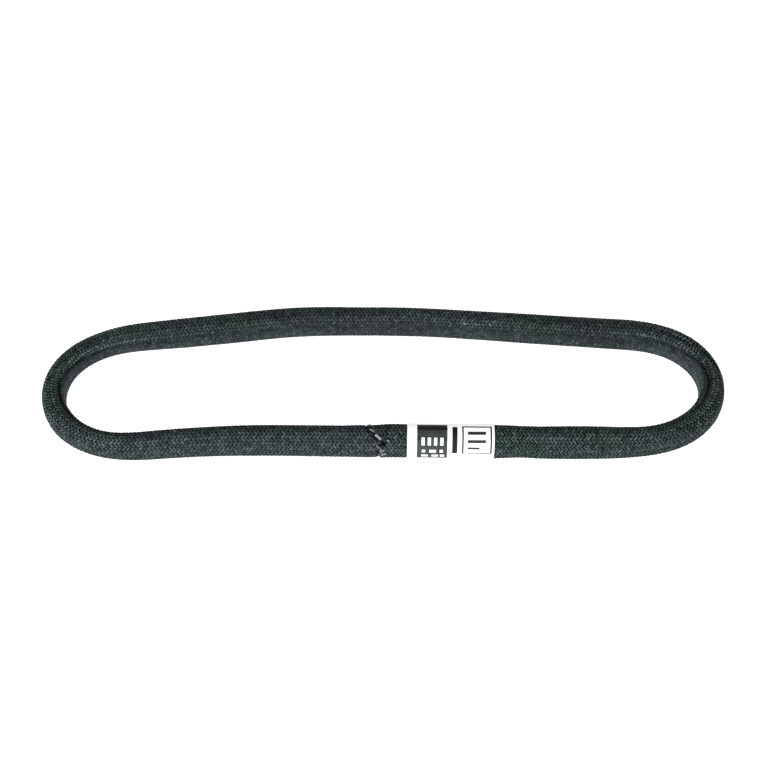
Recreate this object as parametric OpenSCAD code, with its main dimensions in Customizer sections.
// Covered round sling: an endless hank of high-modulus yarn inside a braided
// tubular cover, laid flat as a long oval. The loop is drawn as bodies that
// hinge to each other, so the legs spread, the middle folds and both ends curl.
// X runs along the loop, Z is up. The front leg, on -Y, carries the label and
// the rear leg, on +Y, is plain. The origin is the centre of the loop's
// footprint on the surface it rests on.

/* [Cord] */
// Width of the cord across the cover, in the plane of the loop
cord_w = 8.2; // [7.8:0.1:9]
// Height of the cord across the cover
cord_h = 11; // [10.4:0.1:12]
// Corner radius of the cord's cross-section
cord_r = 3.3; // [2.6:0.1:3.6]
// Wall of the braided cover
cover_t = 0.9; // [0.7:0.05:1.0]
// Radial slack between the yarn core and the cover
core_slack = 0.1; // [0.05:0.05:0.3]

/* [Lay of the loop] */
// Straight run of the labelled leg
front_len = 106; // [102:0.5:109]
// Centreline radius of both end bights
bight_r = 22.7; // [21.5:0.1:24]
// Wrap angle of the right bight at that radius
right_wrap = 135; // [134:0.5:136]
// Radius of the lead-in to the right bight on the labelled leg
right_in_r = 45; // [42:1:48]
// Radius of the lead-out from the right bight on the plain leg
right_out_r = 30.5; // [28:0.5:34]
// Radius of the bow in the plain leg
bow_r = 303; // [290:1:315]
// Radius of the lead-in to the left bight on the plain leg
left_in_r = 39; // [36:1:42]
// Radius of the lead-out from the left bight on the labelled leg
left_out_r = 37; // [34:1:40]
// Radius of the slight reverse bend in the labelled leg
dip_r = 430; // [415:1:445]

/* [Cover overlap and label] */
// X of the middle of the stitched cover end
seam_x = 0; // [-1:0.25:1]
// Slant of the cover end across the cord, in degrees
seam_slant = 40; // [25:1:42]
// X where the tucked inner cover end stops
tuck_x = 31; // [28:0.5:34]
// X of the label's left edge
label_x = 8; // [7.5:0.25:9]
// Length of the label sleeve along the cord
label_len = 28; // [25:0.5:28.5]
// Number of stitches on the top face of the seam, and on the bottom face
stitches = 4; // [3:1:5]

/* [Hinges] */
// X of the leg hinges nearest the bights
spread_x = 66; // [64:0.5:68]
// X of the leg hinges nearest the middle
mid_x = 41; // [39:0.5:43]
// X of the first fold hinge
fold_x = -9; // [-10:0.5:-8.5]
// Pitch of the fold hinges
fold_pitch = 8; // [7.4:0.1:8]
// X of the first curl hinge at each end
curl_x = 75; // [74:0.5:76]
// Pitch of the curl hinges
curl_pitch = 10.5; // [9.5:0.1:10.7]

/* [Hidden] */

$fn = 48;
cover_color = [0.17, 0.22, 0.21];
core_color = [0.88, 0.86, 0.78];

axis_z = cord_h / 2;       // height of the cord's centreline
cut_gap = 0.1;             // half gap at every hinge apex and plain cut
fold_angle = 16;           // half the wedge opened at a folding or curling hinge
spread_angle = 12;         // half the wedge opened at a spreading hinge
cut_x = 16;                // where the closed loop is parted in the rear leg
over = 1;                  // extra length of a cut past the solid it cuts

// ---- cross-sections of the cord: [width, height, corner radius] ----
cord = [cord_w, cord_h, cord_r];
bore = cord - cover_t * [2, 2, 1];
core = cord - (cover_t + core_slack) * [2, 2, 1];

module outline(section) {
    w = section[0];
    h = section[1];
    r = section[2];
    translate([-w / 2 + r, -h / 2]) square([w - 2 * r, h]);
    translate([-w / 2, -h / 2 + r]) square([w, h - 2 * r]);
    for (x = [-1, 1], y = [-1, 1])
        translate([x * (w / 2 - r), y * (h / 2 - r)]) circle(r);
}

// ---- lay of the loop, anticlockwise from the left end of the front straight ----
right_in_sweep = 24.5;
right_out_sweep = 16;
bow_sweep = 13;
left_in_sweep = 21.5;
left_out_sweep = 25;
dip_sweep = -6.5;
left_wrap = 360 - right_in_sweep - right_wrap - right_out_sweep - bow_sweep
    - left_in_sweep - left_out_sweep - dip_sweep;

// Rows are [length, 0] for a straight run, [radius, sweep] for a bend
function lay(run_a, run_b) = [
    [front_len, 0],
    [right_in_r, right_in_sweep],
    [bight_r, right_wrap],
    [right_out_r, right_out_sweep],
    [run_a, 0],
    [bow_r, bow_sweep],
    [run_b, 0],
    [left_in_r, left_in_sweep],
    [bight_r, left_wrap],
    [left_out_r, left_out_sweep],
    [dip_r, dip_sweep]];

// Row numbers in the lay
RIGHT_BIGHT = 2;
RUN_A = 4;
BOW = 5;
RUN_B = 6;
LEFT_BIGHT = 8;
LEFT_OUT = 9;
FRONT_ROWS = [0, 1, 10, 9];
REAR_ROWS = [3, 4, 5, 6, 7];

// Heading, displacement and start point of row i
function heading(rows, i) = i == 0 ? 0 : heading(rows, i - 1) + rows[i - 1][1];
function travel(rows, i) =
    let (from = heading(rows, i), size = rows[i][0], sweep = rows[i][1], to = from + sweep)
    sweep == 0 ? size * [cos(from), sin(from)]
               : sign(sweep) * size * [sin(to) - sin(from), cos(from) - cos(to)];
function start(rows, i) = i == 0 ? [0, 0] : start(rows, i - 1) + travel(rows, i - 1);

// The two straight runs of the rear leg close the loop
open_lay = lay(0, 0);
open_gap = start(open_lay, len(open_lay));
heading_a = heading(open_lay, RUN_A);
heading_b = heading(open_lay, RUN_B);
dir_a = [cos(heading_a), sin(heading_a)];
dir_b = [cos(heading_b), sin(heading_b)];
closed_lay = lay(-cross(open_gap, dir_b) / cross(dir_a, dir_b),
                 -cross(dir_a, open_gap) / cross(dir_a, dir_b));

function bend_centre(i) =
    let (from = heading(closed_lay, i), bend = closed_lay[i])
    start(closed_lay, i) + sign(bend[1]) * bend[0] * [-sin(from), cos(from)];

// Centres the loop between the bights in X, and between the top of the bow
// and the bottom of the left lead-out in Y
shift = -[(bend_centre(RIGHT_BIGHT)[0] + bend_centre(LEFT_BIGHT)[0]) / 2,
          (bend_centre(BOW)[1] + bow_r + bend_centre(LEFT_OUT)[1] - left_out_r) / 2];
front_y = shift[1];        // centreline of the front straight

// Y of the centreline at x on row i; side is -1 for the front, 1 for the rear
function row_y(i, x, side) =
    let (from = start(closed_lay, i) + shift, centre = bend_centre(i) + shift,
         size = closed_lay[i][0], sweep = closed_lay[i][1])
    sweep == 0
        ? from[1] + (x - from[0]) * tan(heading(closed_lay, i))
        : centre[1] + side * sign(sweep) * sqrt(size * size - (x - centre[0]) * (x - centre[0]));

// The same on whichever row spans x, or on a bight if none of the leg's rows does
function leg_y(x, side) =
    let (found = [for (i = side < 0 ? FRONT_ROWS : REAR_ROWS)
        let (from = start(closed_lay, i)[0] + shift[0],
             to = start(closed_lay, i + 1)[0] + shift[0])
        if (x >= min(from, to) && x <= max(from, to)) row_y(i, x, side)])
    len(found) > 0 ? found[0] : row_y(x > 0 ? RIGHT_BIGHT : LEFT_BIGHT, x, side);

// ---- solids along the lay ----
run_past = 4;              // a strand runs on past both its ends, to be trimmed
straight_sag = 0.03;       // a strand that sags less than this is a straight bar

// From x = a to x = b: one bend through three points of the lay, or a bar
module strand(a, b, side, section) {
    middle = (a + b) / 2;
    p = [a, leg_y(a, side)];
    q = [middle, leg_y(middle, side)];
    t = [b, leg_y(b, side)];
    sag = q[1] - (p[1] + t[1]) / 2;
    chord = norm(t - p);
    if (abs(sag) < straight_sag) {
        translate([p[0], p[1], axis_z])
            rotate([0, 0, atan2(t[1] - p[1], t[0] - p[0])])
                translate([-run_past, 0, 0])
                    rotate([90, 0, 90])
                        linear_extrude(chord + 2 * run_past) outline(section);
    }
    else {
        // circle through p, q and t
        d = 2 * (p[0] * (q[1] - t[1]) + q[0] * (t[1] - p[1]) + t[0] * (p[1] - q[1]));
        centre = [
            (p * p * (q[1] - t[1]) + q * q * (t[1] - p[1]) + t * t * (p[1] - q[1])) / d,
            (p * p * (t[0] - q[0]) + q * q * (p[0] - t[0]) + t * t * (q[0] - p[0])) / d];
        radius = norm(p - centre);
        half = asin(min(1, chord / 2 / radius)) + run_past / radius * 180 / PI;
        aim = atan2(q[1] - centre[1], q[0] - centre[0]);
        translate([centre[0], centre[1], axis_z])
            rotate([0, 0, aim - half])
                rotate_extrude(angle = 2 * half)
                    translate([radius, 0]) outline(section);
    }
}

// One bend at the bight radius; end is 1 for the right bight, -1 for the left
module hoop(end, section) {
    half = 80;
    centre = bend_centre(end > 0 ? RIGHT_BIGHT : LEFT_BIGHT) + shift;
    translate([centre[0], centre[1], axis_z])
        rotate([0, 0, (end > 0 ? 0 : 180) - half])
            rotate_extrude(angle = 2 * half)
                translate([bight_r, 0]) outline(section);
}

// A straight bar on the front leg's centreline
module bar(x0, x1, section) {
    translate([x0, front_y, axis_z])
        rotate([90, 0, 90])
            linear_extrude(x1 - x0) outline(section);
}

// ---- trimming regions: what lies on the dir side (1 is +X, -1 is -X) of a hinge ----
module hinge_profile(dir, angle) {
    reach = 20;
    far = 160;
    open = cut_gap + reach * tan(angle);
    polygon([[dir * cut_gap, 0], [dir * open, reach], [dir * far, reach],
             [dir * far, -reach], [dir * open, -reach]]);
}
// Hinge axis along Y; side 0 takes in both legs
module fold_side(x, dir, angle = fold_angle, side = 0) {
    half_width = 60;
    translate([x, side < 0 ? 0 : half_width, axis_z])
        rotate([90, 0, 0])
            linear_extrude(side == 0 ? 2 * half_width : half_width)
                hinge_profile(dir, angle);
}
// Hinge axis along Z, on the front straight's line or its mirror at the rear
module spread_side(x, side, dir) {
    translate([x, -side * front_y, -5])
        linear_extrude(30) hinge_profile(dir, spread_angle);
}
module hinge_side(hinge, x, side, dir) {
    if (hinge == "spread") spread_side(x, side, dir);
    else fold_side(x, dir, hinge == "plain" ? 0 : fold_angle, side);
}

// ---- bodies of one cross-section; kind is "cover" or "core" ----
module leg(kind, a, hinge_a, b, hinge_b, side) {
    intersection() {
        if (kind == "cover") difference() {
            strand(a, b, side, cord);
            strand(a, b, side, bore);
        }
        else strand(a, b, side, core);
        hinge_side(hinge_a, a, side, 1);
        hinge_side(hinge_b, b, side, -1);
    }
}
module bight(kind, end) {
    intersection() {
        if (kind == "cover") difference() {
            hoop(end, cord);
            hoop(end, bore);
        }
        else hoop(end, core);
        fold_side(end * curl_3, end);
    }
}

fold_2 = fold_x - fold_pitch;
fold_3 = fold_2 - fold_pitch;
fold_4 = fold_3 - fold_pitch;
curl_2 = curl_x + curl_pitch;
curl_3 = curl_2 + curl_pitch;
FRONT = [-1];
REAR = [1];
BOTH = [-1, 1];

// [name, left x, left hinge, right x, right hinge, sides]
SPANS = [
    ["right_arms", spread_x, "spread", curl_x, "fold", BOTH],
    ["right_bend_1", curl_x, "fold", curl_2, "fold", BOTH],
    ["right_bend_2", curl_2, "fold", curl_3, "fold", BOTH],
    ["front_right_leg", mid_x, "spread", spread_x, "spread", FRONT],
    ["front_fold_1", fold_2, "fold", fold_x, "fold", FRONT],
    ["front_fold_2", fold_3, "fold", fold_2, "fold", FRONT],
    ["front_fold_3", fold_4, "fold", fold_3, "fold", FRONT],
    ["front_left_mid", -mid_x, "spread", fold_4, "fold", FRONT],
    ["front_left_leg", -spread_x, "spread", -mid_x, "spread", FRONT],
    ["left_arms", -curl_x, "fold", -spread_x, "spread", BOTH],
    ["left_bend_1", -curl_2, "fold", -curl_x, "fold", BOTH],
    ["left_bend_2", -curl_3, "fold", -curl_2, "fold", BOTH],
    ["rear_left_leg", -spread_x, "spread", -mid_x, "spread", REAR],
    ["rear_left_mid", -mid_x, "spread", fold_4, "fold", REAR],
    ["rear_fold_3", fold_4, "fold", fold_3, "fold", REAR],
    ["rear_fold_2", fold_3, "fold", fold_2, "fold", REAR],
    ["rear_fold_1", fold_2, "fold", fold_x, "fold", REAR],
    ["rear_mid", fold_x, "fold", cut_x, "plain", REAR],
    ["rear_mid_right", cut_x, "plain", mid_x, "spread", REAR],
    ["rear_right_leg", mid_x, "spread", spread_x, "spread", REAR]];
// [name, end]
BIGHTS = [["right_bight", 1], ["left_bight", -1]];

module span(kind, row) {
    for (side = row[5]) leg(kind, row[1], row[2], row[3], row[4], side);
}
module cover_span(row) color(cover_color) span("cover", row);
module core_span(row) color(core_color) span("core", row);
module cover_bight(end) color(cover_color) bight("cover", end);
module core_bight(end) color(core_color) bight("core", end);

// ---- overlap, binding and label on the front straight ----
lap = cord + [0.6, 0, 0];                   // fuller where two layers lie together
lap_bore = cord - [1.1, 2, 0.8];
tucked = cord - [1.2, 2.1, 0.9];            // inner cover end, inside the lap
tucked_bore = cord - [2.6, 3.5, 1.6];
tucked_core = cord - [2.8, 3.7, 1.7];
bound_core = cord - [3.6, 4.5, 2];          // core inside the binding
binding_bore = cord - [3.5, 4.4, 1.95];
label_seat = cord + [0.2, -0.8, 0];         // cover under the label
label_outer = cord + [0.9, 0, 0];
label_bore = cord + [0.3, -0.7, -0.3];

left_x = -20;              // start of bars trimmed by the fold hinge
right_x = mid_x + 8;       // end of bars trimmed by the spread hinge
lap_x = -12;               // start of the lapped layers
neck_x = -7;               // where the core narrows for the tucked end
neck_overlap = 0.5;
bind_x0 = 10;
bind_x1 = 26;
bind_gap = 0.1;            // between the binding and the thicker core at its ends
tuck_end = tuck_x + 1;     // end of the lap's bore
core_step = tuck_x + 1.5;  // where the core is full again
label_end = label_x + label_len;
label_gap = 0.2;
seam_gap = 0.15;           // half gap along the slanted seam

// Everything right of the slanted seam moved by offset in X
module right_of_seam(offset) {
    translate([seam_x + offset, front_y, -5])
        rotate([0, 0, seam_slant])
            translate([0, -30, 0]) cube([90, 60, 30]);
}

module cover_front_mid() color(cover_color) intersection() {
    difference() {
        union() {
            bar(lap_x, label_x - label_gap, lap);
            bar(label_x - label_gap, label_end + label_gap, label_seat);
            bar(label_end + label_gap, right_x, cord);
        }
        bar(lap_x - over, tuck_end, lap_bore);
        bar(tuck_end, right_x + over, bore);
    }
    right_of_seam(seam_gap);
    spread_side(mid_x, -1, -1);
}
module cover_inner_end() color([0.16, 0.2, 0.19]) intersection() {
    difference() {
        union() {
            difference() {
                bar(left_x, 12, cord);
                right_of_seam(-seam_gap);
            }
            bar(lap_x, tuck_x, tucked);
        }
        bar(left_x - over, neck_x + neck_overlap, bore);
        bar(neck_x, tuck_x + over, tucked_bore);
    }
    fold_side(fold_x, 1);
}
module core_front_mid() color(core_color) intersection() {
    union() {
        bar(left_x, neck_x, core);
        bar(neck_x - neck_overlap, bind_x0, tucked_core);
        bar(bind_x0, bind_x1, bound_core);
        bar(bind_x1, core_step, tucked_core);
        bar(core_step, right_x, core);
    }
    fold_side(fold_x, 1);
    spread_side(mid_x, -1, -1);
}
module core_binding() color([0.75, 0.72, 0.62]) difference() {
    bar(bind_x0 + bind_gap, bind_x1 - bind_gap, tucked_core);
    bar(bind_x0 - over, bind_x1 + over, binding_bore);
}
module label_sleeve() color([0.95, 0.96, 0.95]) difference() {
    bar(label_x, label_end, label_outer);
    bar(label_x - over, label_end + over, label_bore);
}

stitch_r = 0.22;
stitch_inset = 1.6;        // from the seam line, along X
stitch_pitch = 1.3;        // across the cord
face_stitch_len = 1.6;
side_stitch_len = 1.5;
stitch_sink = 0.05;        // of the stitch's outer end below the cover's surface

// Point on the stitch line, y off the centreline and z off the axis
module on_seam(y, z) {
    translate([seam_x + stitch_inset - y * tan(seam_slant), front_y + y, axis_z + z])
        children();
}
module seam_stitching() color([0.75, 0.78, 0.72]) {
    // on the top and bottom faces
    for (i = [0 : stitches - 1], face = [1, -1])
        on_seam((i - (stitches - 1) / 2) * stitch_pitch,
                face * (cord_h / 2 - face_stitch_len / 2 - stitch_sink))
            cylinder(h = face_stitch_len, r = stitch_r, center = true);
    // on the two sides: the slant is followed out to the surface, then each is sunk in Y
    for (side = [1, -1], z = [-1.6, 0, 1.6])
        on_seam(side * lap[0] / 2, z)
            translate([0, -side * (side_stitch_len / 2 + stitch_sink), 0])
                rotate([90, 0, 0])
                    cylinder(h = side_stitch_len, r = stitch_r, center = true);
}

for (row = SPANS) {
    cover_span(row);
    core_span(row);
}
for (row = BIGHTS) {
    cover_bight(row[1]);
    core_bight(row[1]);
}
cover_front_mid();
core_front_mid();
cover_inner_end();
core_binding();
seam_stitching();
label_sleeve();
